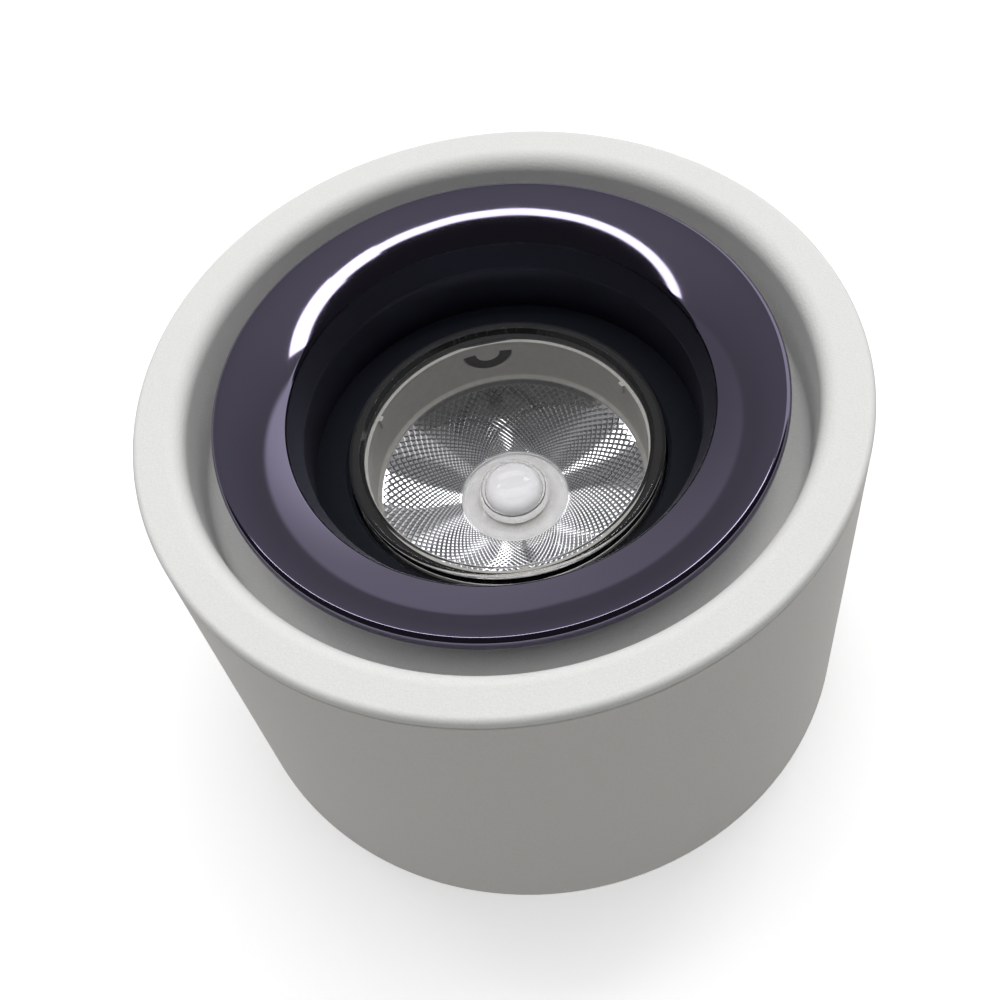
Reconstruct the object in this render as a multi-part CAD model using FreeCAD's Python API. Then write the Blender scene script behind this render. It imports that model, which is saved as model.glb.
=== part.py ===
"""Surface-mounted downlight with a tilting lamp head, in millimetres.

The lamp stands on its ceiling face: the origin is the centre of that face and +Z is the way
the light leaves.  A bayonet plate fixes to the ceiling, the housing twists onto it, and inside
the housing a yoke pans and the lamp head tilts.
"""
import FreeCAD, Part
import math
import os

os.makedirs("parts", exist_ok=True)

Vec = FreeCAD.Vector
UP = Vec(0, 0, 1)

# ---------------------------------------------------------------- driving dimensions
BODY_R = 48.0               # outside radius of the housing
BODY_H = 60.0               # ceiling face to the rim of the bezel
WALL = 2.5                  # wall of the barrel
SHEET = 1.2                 # steel sheet of the ceiling plate and the chassis
FIT = 0.05                  # radial clearance of a running fit
SLIP = 0.02                 # radial clearance of a fixed insert

BARREL_R = BODY_R - WALL            # inside radius of the barrel
BEZEL_T = 1.5                       # thickness of the bezel's rim, above the parting line
SEAM_Z = BODY_H - BEZEL_T           # parting line between bezel and barrel
RIM_FLAT_R = 43.7                   # inner end of the flat rim
RIM_SOFT_R = 2.4                    # soft inner edge of the rim
WELL_R = RIM_FLAT_R - RIM_SOFT_R    # well round the trim ring, at its mouth
WELL_DRAFT = 0.4                    # how much narrower the well is at its floor
FLOOR_Z = 48.6                      # floor of the well
FLOOR_T = 1.2
FLOOR_HOLE_R = 31.2                 # the lamp head passes through this hole

TRIM_R = 37.8               # outside radius of the trim ring
TRIM_TOP = 59.4             # crown of its outer bead
TRIM_BEAD = 0.9             # radius of that bead
TRIM_T = 1.2                # its sheet
TRIM_EDGE = 1.8             # height of its turned edge
FLANGE_SLOPE = 6.0          # slope where the bead meets the flange, in degrees
BELL_SLOPE = 17.0           # slope where the flange meets the bell
MOUTH_SLOPE = 27.0          # slope at the foot of the bell
CONE_SLOPE = 66.0           # slope of the short cone under the bell
FLANGE_SWEEP = 16.5         # radius of the flange's curve
BELL_SWEEP = 30.3           # radius of the bell's curve
MOUTH_SWEEP = 1.0           # radius of the turn from bell to cone
CONE_H = 3.3                # height of the cone
LIP = 0.25                  # radius of the fine lip at its foot
THROAT_R = 26.9
THROAT_Z = 44.6             # lower edge of the throat

LENS_R = 21.9               # clear front lens
LENS_RIM_W = 1.8            # width of its raised rim
LENS_TOP = 47.0             # top of the raised rim
LENS_FACE = 46.4            # flat front face inside the rim
LENS_BACK = 44.2            # flat back face
LENS_SEAT = 43.4            # where the rim stands on the lens holder

REFLECTOR_R = 18.9          # mouth of the faceted reflector
REFLECTOR_Z = 36.0
REFLECTOR_FOOT_R = 7.8
REFLECTOR_FOOT_Z = 32.7
REFLECTOR_T = 0.5           # its wall
DOME_R = 7.5                # primary lens over the light source
DOME_H = 4.6

CUP_R = 29.3                # lamp cup that joins trim ring, lens and heat sink
CUP_TOP = 48.5
CUP_SHOULDER = 42.0
CUP_BOTTOM = 36.8
HOLDER_R = 21.9             # white lens holder
HOLDER_TOP = 43.9           # top of its collar, inside the lens's rim
HOLDER_IN_R = 19.55         # its inner wall
HOLDER_STEP_Z = 41.9        # step under the lens's rim, which carries the sealing ring
COLLAR_R = 20.05            # outside of the collar
SINK_R = 27.5               # heat sink
SINK_TOP = 30.8
SINK_PLATE = 28.0
SINK_BOTTOM = 24.0
FIN_COUNT = 28
FIN_T = 1.1

PIVOT_Z = 43.0              # tilt axis, along X
PIVOT_R = 2.0               # shoulder of the pivot screw
BOSS_R = 4.0                # pivot boss of the lamp cup
BOSS_GAP = 0.4              # between boss and ear, for the washer
EAR_X = 31.7                # inner face of the yoke's ears
YOKE_T = 1.5
YOKE_HALF_W = 9.0
CHASSIS_Z = 17.0            # underside of the chassis plate
BUSH_R = 5.0                # hollow pan bush
BUSH_BORE = 3.2
WASHER_GAP = 0.4            # room for the friction washer under the yoke
YOKE_Z = CHASSIS_Z + SHEET + WASHER_GAP

POST_COUNT = 3              # screw posts inside the barrel
POST_R = 3.0
POST_AT = 42.6
POST_ANGLE = 90.0
SCREW_R = 1.5               # M3
SMALL_SCREW_R = 1.3         # M2.6, for the light source and the driver
DRIVE_HALF = 0.3            # half width of a screw's slot or cross recess

RING_Z = 2.7                # bayonet ring
RING_T = 1.5
RING_IN_R = 36.0
RING_OUT_R = BARREL_R - 0.2
LUG_ANGLE = 20.0            # bayonet lugs of the ceiling plate
LUG_HALF = 8.0
UNLOCK = 24.0               # twist that brings the lugs over the notches
NOTCH_HALF = 11.0
NOTCH_R = 42.2
PLATE_R = 44.6              # ceiling plate
SLOT_X = 30.0               # its screw slots
SLOT_LENGTH = 14.0
SLOT_R = 2.25
ENTRY_R = 6.0               # cable hole that holds the grommet
MIDDLE_R = 11.5             # raised middle of the plate, round the cable hole
MIDDLE_Z = 1.4
LUG_IN_R = 33.0             # upright leg of each bayonet lug
CABLE_R = 3.5               # grommet: hole for the cable
GROMMET_R = 8.0             # and its two flanges

DRIVER_X = 27.0             # half length of the driver case
DRIVER_Y0 = -33.0
DRIVER_Y1 = -8.0
DRIVER_Z0 = 6.0
DRIVER_Z1 = 15.8
DRIVER_WALL = 1.2
DRIVER_EAR_X = 30.4
DRIVER_EAR_R = 2.7
BOARD_Z = 8.4
BOARD_T = 1.2
BOARD_TOP = BOARD_Z + BOARD_T
DRIVER_MID = (DRIVER_Y0 + DRIVER_Y1) / 2
DRIVER_CORNER = 3.0
STUD_X = 20.0               # studs that carry the board
SOCKET_X = 14.0             # wire sockets and the openings above them


# ---------------------------------------------------------------- helpers
def line(r0, z0, r1, z1):
    """A straight edge of an outline in the XZ plane."""
    return Part.LineSegment(Vec(r0, 0, z0), Vec(r1, 0, z1)).toShape()


def arc(r, z, radius, start, end):
    """A circular edge round (r, z), with its angles in degrees from +X towards +Z."""
    pts = []
    for share in (0.0, 0.5, 1.0):
        a = math.radians(start + (end - start) * share)
        pts.append(Vec(r + radius * math.cos(a), 0, z + radius * math.sin(a)))
    return Part.Arc(*pts).toShape()


def falling_arc(r, z, radius, first, last):
    """A curve that starts at (r, z) and falls towards the axis, from one slope to a steeper one.

    Gives the centre and the end point."""
    tilt = math.radians(first)
    centre = (r + radius * math.sin(tilt), z - radius * math.cos(tilt))
    tilt = math.radians(last)
    end = (centre[0] - radius * math.sin(tilt), centre[1] + radius * math.cos(tilt))
    return centre, end


def spun(edges):
    """The solid of revolution about Z of a closed outline."""
    wire = Part.Wire(Part.__sortEdges__(edges))
    return Part.Face(wire).revolve(Vec(0, 0, 0), UP, 360).removeSplitter()


def spun_points(points):
    """The same for an outline of straight lines, as (r, z) corners."""
    corners = [Vec(r, 0, z) for r, z in points]
    corners.append(corners[0])
    return Part.Face(Part.makePolygon(corners)).revolve(Vec(0, 0, 0), UP, 360)


def rod(radius, z0, z1, x=0.0, y=0.0):
    return Part.makeCylinder(radius, z1 - z0, Vec(x, y, z0))


def rod_x(radius, x0, x1, y=0.0, z=0.0):
    return Part.makeCylinder(radius, x1 - x0, Vec(x0, y, z), Vec(1, 0, 0))


def tube(r_out, r_in, z0, z1):
    return rod(r_out, z0, z1).cut(rod(r_in, z0 - 1, z1 + 1))


def block(x0, x1, y0, y1, z0, z1):
    return Part.makeBox(x1 - x0, y1 - y0, z1 - z0, Vec(x0, y0, z0))


def soft_corners(shape, radius):
    """Rounds the upright edges of a block."""
    upright = [e for e in shape.Edges if abs(e.tangentAt(e.FirstParameter).z) > 0.9]
    return shape.makeFillet(radius, upright)


def sector(r_in, r_out, mid, half, z0, z1):
    """Part of a ring, from mid - half to mid + half degrees."""
    wedge = Part.makeCylinder(r_out, z1 - z0, Vec(0, 0, z0), UP, 2 * half)
    wedge = wedge.cut(rod(r_in, z0 - 1, z1 + 1))
    return turned(wedge, mid - half)


def turned(shape, angle):
    copy = shape.copy()
    copy.rotate(Vec(0, 0, 0), UP, angle)
    return copy


def mirrored_x(shape):
    return shape.mirror(Vec(0, 0, 0), Vec(1, 0, 0))


def round_pattern(shape, count, first=0.0):
    return [turned(shape, first + 360.0 * i / count) for i in range(count)]


def polar(radius, angle):
    a = math.radians(angle)
    return radius * math.cos(a), radius * math.sin(a)


def post_places():
    return [polar(POST_AT, POST_ANGLE + 360.0 * i / POST_COUNT) for i in range(POST_COUNT)]


def pan_screw(x, y, seat, length, shank_r, head_r, head_h, up=True):
    """A pan-head screw whose head stands on z = seat, pointing down when up is true."""
    if up:
        shank = rod(shank_r, seat - length, seat, x, y)
        head = rod(head_r, seat, seat + head_h, x, y)
        recess = block(x - head_r * 0.6, x + head_r * 0.6, y - DRIVE_HALF, y + DRIVE_HALF,
                       seat + head_h * 0.5, seat + head_h + 1)
    else:
        shank = rod(shank_r, seat, seat + length, x, y)
        head = rod(head_r, seat - head_h, seat, x, y)
        recess = block(x - head_r * 0.6, x + head_r * 0.6, y - DRIVE_HALF, y + DRIVE_HALF,
                       seat - head_h - 1, seat - head_h * 0.5)
    cross = recess.copy()
    cross.rotate(Vec(x, y, 0), UP, 90)
    return shank.fuse(head).cut(recess.fuse(cross))


def save(node, *solids):
    """Writes one node; several solids are separate pieces of the same kind."""
    shape = solids[0] if len(solids) == 1 else Part.makeCompound(list(solids))
    if not shape.isValid():
        raise RuntimeError(node + " is not a valid shape")
    shape.exportStep("parts/" + node + ".step")
    print("%-20s %2d solid(s) %10.1f mm3" % (node, len(shape.Solids), shape.Volume))


# ---------------------------------------------------------------- ceiling mount
def ceiling_plate():
    """Steel plate with a raised middle for the grommet, two screw slots and three lugs."""
    step = 1.5
    bend = 0.4
    top_z = MIDDLE_Z + SHEET
    plate = spun_points([
        (ENTRY_R, MIDDLE_Z), (MIDDLE_R, MIDDLE_Z), (MIDDLE_R + step, 0.0), (PLATE_R, 0.0),
        (PLATE_R, SHEET), (MIDDLE_R + step + bend, SHEET), (MIDDLE_R + bend, top_z), (ENTRY_R, top_z)])
    reach = SLOT_LENGTH / 2 - SLOT_R
    slot = block(SLOT_X - reach, SLOT_X + reach, -SLOT_R, SLOT_R, -1, SHEET + 1)
    for end in (-reach, reach):
        slot = slot.fuse(rod(SLOT_R, -1, SHEET + 1, SLOT_X + end))
    plate = plate.cut(slot).cut(mirrored_x(slot))
    lug_z = RING_Z + RING_T + 0.1
    leg = sector(LUG_IN_R, LUG_IN_R + SHEET, LUG_ANGLE, LUG_HALF, SHEET, lug_z + SHEET)
    foot = sector(LUG_IN_R, RING_IN_R + 5.5, LUG_ANGLE, LUG_HALF, lug_z, lug_z + SHEET)
    for lug in round_pattern(leg.fuse(foot), 3):
        plate = plate.fuse(lug)
    return plate.removeSplitter()


def cable_grommet():
    """Rubber grommet: two flanges and a neck in the plate's cable hole."""
    low_z = 0.3
    upper_z = MIDDLE_Z + SHEET
    top_z = upper_z + 1.2
    return spun_points([
        (CABLE_R, low_z), (GROMMET_R, low_z), (GROMMET_R, MIDDLE_Z), (ENTRY_R, MIDDLE_Z),
        (ENTRY_R, upper_z), (GROMMET_R, upper_z), (GROMMET_R - 0.6, top_z), (CABLE_R, top_z)])


TERMINAL_Y = 24.0
TERMINAL_PITCH = 8.5
TERMINAL_X = [-TERMINAL_PITCH, 0.0, TERMINAL_PITCH]
TERMINAL_HALF_Y = 7.5
TERMINAL_TOP = 12.2
CLAMP_Z = 4.0
CLAMP_H = 4.6
CLAMP_HALF = 2.7
FIXING_R = 1.25             # screws through the terminal block
FIXING_HEAD_R = 2.1
FIXING_SEAT = 9.0
CLAMP_HALF_Y = 6.5
WIRE_R = 1.5                # hole for a wire
WIRE_Z = CLAMP_Z + 2.1
TERMINAL_SCREW_Y = 4.0
TERMINAL_SCREW_R = 1.45
TERMINAL_HEAD_R = 2.0
TERMINAL_HEAD_Z = 9.2
TERMINAL_HEAD_H = 1.6


def terminal_block():
    """Three-pole terminal block, open at both ends of each pole and above each screw."""
    half_x = TERMINAL_PITCH * 1.5 + 0.4
    body = block(-half_x, half_x, TERMINAL_Y - TERMINAL_HALF_Y, TERMINAL_Y + TERMINAL_HALF_Y,
                 SHEET, TERMINAL_TOP)
    for x in TERMINAL_X:
        body = body.cut(block(x - CLAMP_HALF - FIT, x + CLAMP_HALF + FIT,
                              TERMINAL_Y - TERMINAL_HALF_Y - 1, TERMINAL_Y + TERMINAL_HALF_Y + 1,
                              CLAMP_Z - FIT, CLAMP_Z + CLAMP_H + FIT))
        for dy in (-TERMINAL_SCREW_Y, TERMINAL_SCREW_Y):
            body = body.cut(rod(TERMINAL_HEAD_R + 0.2, CLAMP_Z + CLAMP_H, TERMINAL_TOP + 1,
                                x, TERMINAL_Y + dy))
    for x in (-TERMINAL_PITCH / 2, TERMINAL_PITCH / 2):
        body = body.cut(block(x - 0.5, x + 0.5, TERMINAL_Y - 20, TERMINAL_Y + 20,
                              TERMINAL_TOP - 3, TERMINAL_TOP + 1))
        body = body.cut(rod(FIXING_R, SHEET - 1, TERMINAL_TOP, x, TERMINAL_Y))
        body = body.cut(rod(FIXING_HEAD_R + 0.2, FIXING_SEAT, TERMINAL_TOP + 1, x, TERMINAL_Y))
    return body


def terminal_clamps():
    """Brass clamp tube of each pole."""
    clamps = []
    for x in TERMINAL_X:
        clamp = block(x - CLAMP_HALF, x + CLAMP_HALF, TERMINAL_Y - CLAMP_HALF_Y,
                      TERMINAL_Y + CLAMP_HALF_Y, CLAMP_Z, CLAMP_Z + CLAMP_H)
        bore = Part.makeCylinder(WIRE_R, 20, Vec(x, TERMINAL_Y - 10, WIRE_Z), Vec(0, 1, 0))
        clamp = clamp.cut(bore)
        for dy in (-TERMINAL_SCREW_Y, TERMINAL_SCREW_Y):
            clamp = clamp.cut(rod(TERMINAL_SCREW_R, WIRE_Z, CLAMP_Z + CLAMP_H + 1,
                                  x, TERMINAL_Y + dy))
        clamps.append(clamp)
    return clamps


def terminal_screws():
    """Slotted clamp screws, two to each pole."""
    screws = []
    for x in TERMINAL_X:
        for dy in (-TERMINAL_SCREW_Y, TERMINAL_SCREW_Y):
            y = TERMINAL_Y + dy
            head_top = TERMINAL_HEAD_Z + TERMINAL_HEAD_H
            screw = rod(TERMINAL_SCREW_R - SLIP, CLAMP_Z + 3.0, TERMINAL_HEAD_Z + 1, x, y)
            screw = screw.fuse(rod(TERMINAL_HEAD_R, TERMINAL_HEAD_Z, head_top, x, y))
            screws.append(screw.cut(block(x - 2.5, x + 2.5, y - DRIVE_HALF, y + DRIVE_HALF,
                                          head_top - 0.7, head_top + 1)))
    return screws


def terminal_fixings():
    """Screws that hold the terminal block down onto the ceiling plate."""
    fixings = []
    for x in (-TERMINAL_PITCH / 2, TERMINAL_PITCH / 2):
        screw = rod(FIXING_R - SLIP, SHEET, FIXING_SEAT + 0.2, x, TERMINAL_Y)
        screw = screw.fuse(rod(FIXING_HEAD_R, FIXING_SEAT, FIXING_SEAT + 1.4, x, TERMINAL_Y))
        fixings.append(screw.cut(block(x - 2.5, x + 2.5, TERMINAL_Y - DRIVE_HALF,
                                       TERMINAL_Y + DRIVE_HALF, FIXING_SEAT + 0.8, FIXING_SEAT + 2)))
    return fixings


EARTH_X = -25.0
EARTH_Y = 13.0
TAG_T = 0.8
TAG_HALF = 3.1              # half width of the spade
TAG_LENGTH = 11.0
TAG_H = 7.0
EARTH_SCREW_R = 2.0


def earth_tag():
    """Tinned brass spade tag under the earth screw."""
    end_y = EARTH_Y - TAG_LENGTH
    tag = rod(4.0, SHEET, SHEET + TAG_T, EARTH_X, EARTH_Y)
    tag = tag.fuse(block(EARTH_X - TAG_HALF, EARTH_X + TAG_HALF, end_y, EARTH_Y, SHEET, SHEET + TAG_T))
    tag = tag.fuse(block(EARTH_X - TAG_HALF, EARTH_X + TAG_HALF, end_y, end_y + TAG_T,
                         SHEET, SHEET + TAG_H))
    return tag.cut(rod(EARTH_SCREW_R + 0.1, 0, 5, EARTH_X, EARTH_Y)).removeSplitter()


def earth_screw():
    """Cheese-head screw on the earth tag."""
    return pan_screw(EARTH_X, EARTH_Y, SHEET + TAG_T, 0.7, EARTH_SCREW_R, 3.4, 2.0)


# ---------------------------------------------------------------- housing
def barrel():
    """Aluminium barrel with three screw posts and a chamfered parting line."""
    soft = 0.5
    cut = 0.4
    seam = 0.45
    body = spun([
        line(BARREL_R, cut, BARREL_R + cut, 0.0),
        line(BARREL_R + cut, 0.0, BODY_R - soft, 0.0),
        arc(BODY_R - soft, soft, soft, -90, 0),
        line(BODY_R, soft, BODY_R, SEAM_Z - cut),
        line(BODY_R, SEAM_Z - cut, BODY_R - seam, SEAM_Z),
        line(BODY_R - seam, SEAM_Z, BARREL_R, SEAM_Z),
        line(BARREL_R, SEAM_Z, BARREL_R, cut)])
    ring_top = RING_Z + RING_T
    for x, y in post_places():
        post = rod(POST_R, ring_top, CHASSIS_Z, x, y)
        web = Part.makeBox(BARREL_R + 0.5 - POST_AT, 2 * POST_R, CHASSIS_Z - ring_top,
                           Vec(POST_AT, -POST_R, ring_top))
        web = turned(web, math.degrees(math.atan2(y, x)))
        body = body.fuse(post.fuse(web))
    for x, y in post_places():
        body = body.cut(rod(SCREW_R, ring_top - 1, CHASSIS_Z + 1, x, y))
    return body.removeSplitter()


def front_bezel():
    """Rim, well wall and well floor in one spun piece, with a spigot that enters the barrel."""
    wall_foot = WELL_R - WELL_DRAFT
    foot_r = 1.2
    edge = 0.8
    hole_edge = 0.4
    under_z = FLOOR_Z - FLOOR_T
    outer_r = wall_foot + 1.6
    spigot_r = BARREL_R - FIT
    spigot_z = 54.0
    seam_r = BODY_R - 0.25
    seam_h = 0.15
    return spun([
        line(BODY_R - edge, BODY_H, RIM_FLAT_R, BODY_H),
        arc(RIM_FLAT_R, BODY_H - RIM_SOFT_R, RIM_SOFT_R, 90, 180),
        line(WELL_R, BODY_H - RIM_SOFT_R, wall_foot, FLOOR_Z + foot_r),
        arc(wall_foot - foot_r, FLOOR_Z + foot_r, foot_r, 0, -90),
        line(wall_foot - foot_r, FLOOR_Z, FLOOR_HOLE_R + hole_edge, FLOOR_Z),
        arc(FLOOR_HOLE_R + hole_edge, FLOOR_Z - hole_edge, hole_edge, 90, 180),
        line(FLOOR_HOLE_R, FLOOR_Z - hole_edge, FLOOR_HOLE_R, under_z),
        line(FLOOR_HOLE_R, under_z, outer_r, under_z),
        line(outer_r, under_z, outer_r, spigot_z),
        line(outer_r, spigot_z, spigot_r, spigot_z),
        line(spigot_r, spigot_z, spigot_r, SEAM_Z),
        line(spigot_r, SEAM_Z, seam_r, SEAM_Z),
        line(seam_r, SEAM_Z, BODY_R, SEAM_Z + seam_h),
        line(BODY_R, SEAM_Z + seam_h, BODY_R, BODY_H - edge),
        arc(BODY_R - edge, BODY_H - edge, edge, 0, 90)])


def chassis_plate():
    """Bulkhead between the driver space and the lamp head, with a bent-up pan stop."""
    top = CHASSIS_Z + SHEET
    vent_r = 1.5
    vent_from, vent_to = 18.0, 30.0
    stop_r = 35.0
    plate = tube(BARREL_R - 0.2, BUSH_R + SLIP, CHASSIS_Z, top)
    for x, y in post_places():
        plate = plate.cut(rod(SCREW_R + 0.2, CHASSIS_Z - 1, top + 1, x, y))
    vent = block(vent_from, vent_to, -vent_r, vent_r, CHASSIS_Z - 1, top + 1)
    for end in (vent_from, vent_to):
        vent = vent.fuse(rod(vent_r, CHASSIS_Z - 1, top + 1, end))
    for slot in round_pattern(vent, 6, 30.0):
        plate = plate.cut(slot)
    stop = block(-stop_r - SHEET, -stop_r, -2.0, 2.0, top, top + 8.5)
    return plate.fuse(stop).removeSplitter()


def bayonet_ring():
    """Steel ring under the posts; its notches pass the plate's lugs and its ribs stop them."""
    ring = tube(RING_OUT_R, RING_IN_R, RING_Z, RING_Z + RING_T)
    notch = sector(RING_IN_R - 1, NOTCH_R, LUG_ANGLE - UNLOCK, NOTCH_HALF, RING_Z - 1,
                   RING_Z + RING_T + 1)
    for cut in round_pattern(notch, 3):
        ring = ring.cut(cut)
    rib = sector(38.0, 41.0, LUG_ANGLE + LUG_HALF + 2.3, 1.6, RING_Z + RING_T, RING_Z + RING_T + 1.2)
    for stop in round_pattern(rib, 3):
        ring = ring.fuse(stop)
    for x, y in post_places():
        ring = ring.cut(rod(SCREW_R + 0.2, RING_Z - 1, RING_Z + RING_T + 3, x, y))
    return ring.removeSplitter()


def bayonet_screws():
    return [pan_screw(x, y, RING_Z, 7.0, SCREW_R - SLIP, 2.7, 1.1, up=False)
            for x, y in post_places()]


def chassis_screws():
    return [pan_screw(x, y, CHASSIS_Z + SHEET, 6.0, SCREW_R - SLIP, 2.7, 1.8)
            for x, y in post_places()]


def pan_bush():
    """Hollow bush that carries the yoke; its upper flange is rolled over at assembly."""
    flange_r = 7.0
    low_z = CHASSIS_Z - 1.0
    yoke_top = YOKE_Z + YOKE_T
    top_z = yoke_top + 0.9
    return spun_points([
        (BUSH_BORE, low_z), (flange_r, low_z), (flange_r, CHASSIS_Z), (BUSH_R, CHASSIS_Z),
        (BUSH_R, yoke_top + FIT), (flange_r, yoke_top + FIT), (flange_r, top_z), (BUSH_BORE, top_z)])


def pan_washer():
    """Nylon friction washer between chassis and yoke."""
    z = CHASSIS_Z + SHEET
    return tube(9.0, BUSH_R + FIT, z, z + WASHER_GAP - SLIP)


# ---------------------------------------------------------------- driver
def driver_case():
    """Plastic tray of the driver, open towards its lid."""
    outer = block(-DRIVER_X, DRIVER_X, DRIVER_Y0, DRIVER_Y1, DRIVER_Z0, DRIVER_Z1)
    outer = soft_corners(outer, DRIVER_CORNER)
    inner = block(-DRIVER_X + DRIVER_WALL, DRIVER_X - DRIVER_WALL, DRIVER_Y0 + DRIVER_WALL,
                  DRIVER_Y1 - DRIVER_WALL, DRIVER_Z0 + DRIVER_WALL, DRIVER_Z1 + 1)
    inner = soft_corners(inner, DRIVER_CORNER - DRIVER_WALL)
    case = outer.cut(inner)
    for x in (-STUD_X, STUD_X):
        case = case.fuse(rod(2.2, DRIVER_Z0 + 0.5, BOARD_Z, x, DRIVER_MID))
    mouth_y = DRIVER_Y1 - DRIVER_WALL - 1
    for x in (-SOCKET_X, SOCKET_X):
        case = case.cut(block(x - 3.0, x + 3.0, mouth_y, mouth_y + 5, BOARD_TOP + 1.5, DRIVER_Z1 + 1))
    return case.removeSplitter()


def driver_lid():
    """Lid with two ears that screw to the chassis."""
    lid = block(-DRIVER_X, DRIVER_X, DRIVER_Y0, DRIVER_Y1, DRIVER_Z1, CHASSIS_Z)
    lid = soft_corners(lid, DRIVER_CORNER)
    for side in (-1, 1):
        ear_x = side * DRIVER_EAR_X
        x0, x1 = sorted((ear_x, side * 24.0))
        ear = rod(DRIVER_EAR_R, DRIVER_Z1, CHASSIS_Z, ear_x, DRIVER_MID)
        ear = ear.fuse(block(x0, x1, DRIVER_MID - DRIVER_EAR_R, DRIVER_MID + DRIVER_EAR_R,
                             DRIVER_Z1, CHASSIS_Z))
        lid = lid.fuse(ear).cut(rod(SMALL_SCREW_R, DRIVER_Z1 - 1, CHASSIS_Z + 1, ear_x, DRIVER_MID))
    return lid.removeSplitter()


def driver_screws():
    """Screws up through the lid's ears."""
    screws = []
    for side in (-1, 1):
        screws.append(pan_screw(side * DRIVER_EAR_X, DRIVER_MID, DRIVER_Z1, CHASSIS_Z - DRIVER_Z1,
                                SMALL_SCREW_R - SLIP, 2.4, 1.5, up=False))
    return screws


def driver_board():
    """Circuit board on the case's two studs."""
    gap = DRIVER_WALL + 0.3
    board = block(-DRIVER_X + gap, DRIVER_X - gap, DRIVER_Y0 + gap, DRIVER_Y1 - gap,
                  BOARD_Z, BOARD_TOP)
    return soft_corners(board, 1.8)


def transformer():
    """Ferrite core round a wound bobbin."""
    y0, y1 = DRIVER_MID - 7.0, DRIVER_MID + 7.0
    core = block(-6.5, 6.5, y0, y1, BOARD_TOP, BOARD_TOP + 5.6)
    core = core.cut(block(-4.6, 4.6, y0 + 2.0, y1 - 2.0, BOARD_TOP - 1, BOARD_TOP + 7))
    return core


def transformer_coil():
    """Taped winding in the window of the core."""
    coil = block(-4.5, 4.5, DRIVER_MID - 4.9, DRIVER_MID + 4.9, BOARD_TOP, BOARD_TOP + 5.0)
    return soft_corners(coil, 1.5)


def capacitors():
    """Two mains capacitors lying down and one output capacitor."""
    cans = []
    for y in (DRIVER_MID - 6.0, DRIVER_MID + 0.8):
        can = Part.makeCylinder(2.9, 11.0, Vec(-22.0, y, BOARD_TOP + 2.95), Vec(1, 0, 0))
        cans.append(can)
    cans.append(Part.makeCylinder(2.7, 9.0, Vec(12.0, DRIVER_MID - 6.0, BOARD_TOP + 2.75), Vec(1, 0, 0)))
    return cans


def driver_chips():
    """Bridge rectifier, controller and surge fuse, as surface-mounted blocks."""
    places = [(-19.0, 7.6, 4.4, 3.0), (11.0, 3.4, 5.0, 4.0), (18.5, 1.8, 4.0, 3.0), (-9.0, 8.0, 4.0, 2.0)]
    return [block(x - w / 2, x + w / 2, DRIVER_MID + y - d / 2, DRIVER_MID + y + d / 2,
                  BOARD_TOP, BOARD_TOP + 1.8) for x, y, w, d in places]


def socket(x):
    """Two-pole wire socket at the driver's open edge."""
    y1 = DRIVER_Y1 - DRIVER_WALL - 0.5
    body = block(x - 2.8, x + 2.8, y1 - 5.0, y1, BOARD_TOP, BOARD_TOP + 4.0)
    for dx in (-1.25, 1.25):
        hole = Part.makeCylinder(0.8, 4.0, Vec(x + dx, y1 - 3.5, BOARD_TOP + 2.6), Vec(0, 1, 0))
        body = body.cut(hole)
    return body


# ---------------------------------------------------------------- yoke
def yoke():
    """U-shaped steel bracket: it pans on the bush and its ears carry the tilt pivots."""
    base_z = YOKE_Z
    bend = 2.0
    ear_top = 4.0
    shoulder = base_z + 8
    outer_x = EAR_X + YOKE_T
    strip = [
        line(-EAR_X + bend, base_z + YOKE_T, EAR_X - bend, base_z + YOKE_T),
        arc(EAR_X - bend, base_z + YOKE_T + bend, bend, -90, 0),
        line(EAR_X, base_z + YOKE_T + bend, EAR_X, PIVOT_Z + ear_top),
        line(EAR_X, PIVOT_Z + ear_top, outer_x, PIVOT_Z + ear_top),
        line(outer_x, PIVOT_Z + ear_top, outer_x, base_z + YOKE_T + bend),
        arc(EAR_X - bend, base_z + YOKE_T + bend, bend + YOKE_T, 0, -90),
        line(EAR_X - bend, base_z, -EAR_X + bend, base_z),
        arc(-EAR_X + bend, base_z + YOKE_T + bend, bend + YOKE_T, -90, -180),
        line(-outer_x, base_z + YOKE_T + bend, -outer_x, PIVOT_Z + ear_top),
        line(-outer_x, PIVOT_Z + ear_top, -EAR_X, PIVOT_Z + ear_top),
        line(-EAR_X, PIVOT_Z + ear_top, -EAR_X, base_z + YOKE_T + bend),
        arc(-EAR_X + bend, base_z + YOKE_T + bend, bend, 180, 270)]
    section = Part.Face(Part.Wire(Part.__sortEdges__(strip)))
    section.translate(Vec(0, -YOKE_HALF_W, 0))
    bracket = section.extrude(Vec(0, 2 * YOKE_HALF_W, 0))
    wide = YOKE_HALF_W + 1
    taper = [Vec(0, -wide, base_z - 1), Vec(0, wide, base_z - 1), Vec(0, wide, shoulder),
             Vec(0, YOKE_HALF_W, shoulder), Vec(0, ear_top, PIVOT_Z), Vec(0, -ear_top, PIVOT_Z),
             Vec(0, -YOKE_HALF_W, shoulder), Vec(0, -wide, shoulder)]
    outline = Part.Face(Part.makePolygon(taper + [taper[0]]))
    outline.translate(Vec(-50, 0, 0))
    keep = outline.extrude(Vec(100, 0, 0)).fuse(rod_x(ear_top, -50, 50, 0, PIVOT_Z))
    bracket = bracket.common(keep)
    bracket = bracket.cut(rod_x(PIVOT_R + FIT, -50, 50, 0, PIVOT_Z))
    bracket = bracket.cut(rod(BUSH_R + FIT, base_z - 1, base_z + YOKE_T + 1))
    tab_reach = 36.0
    tab_z = 23.6
    stop = block(outer_x - 0.5, tab_reach, -1.5, 1.5, tab_z, tab_z + YOKE_T)
    return bracket.fuse(stop).removeSplitter()


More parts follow.
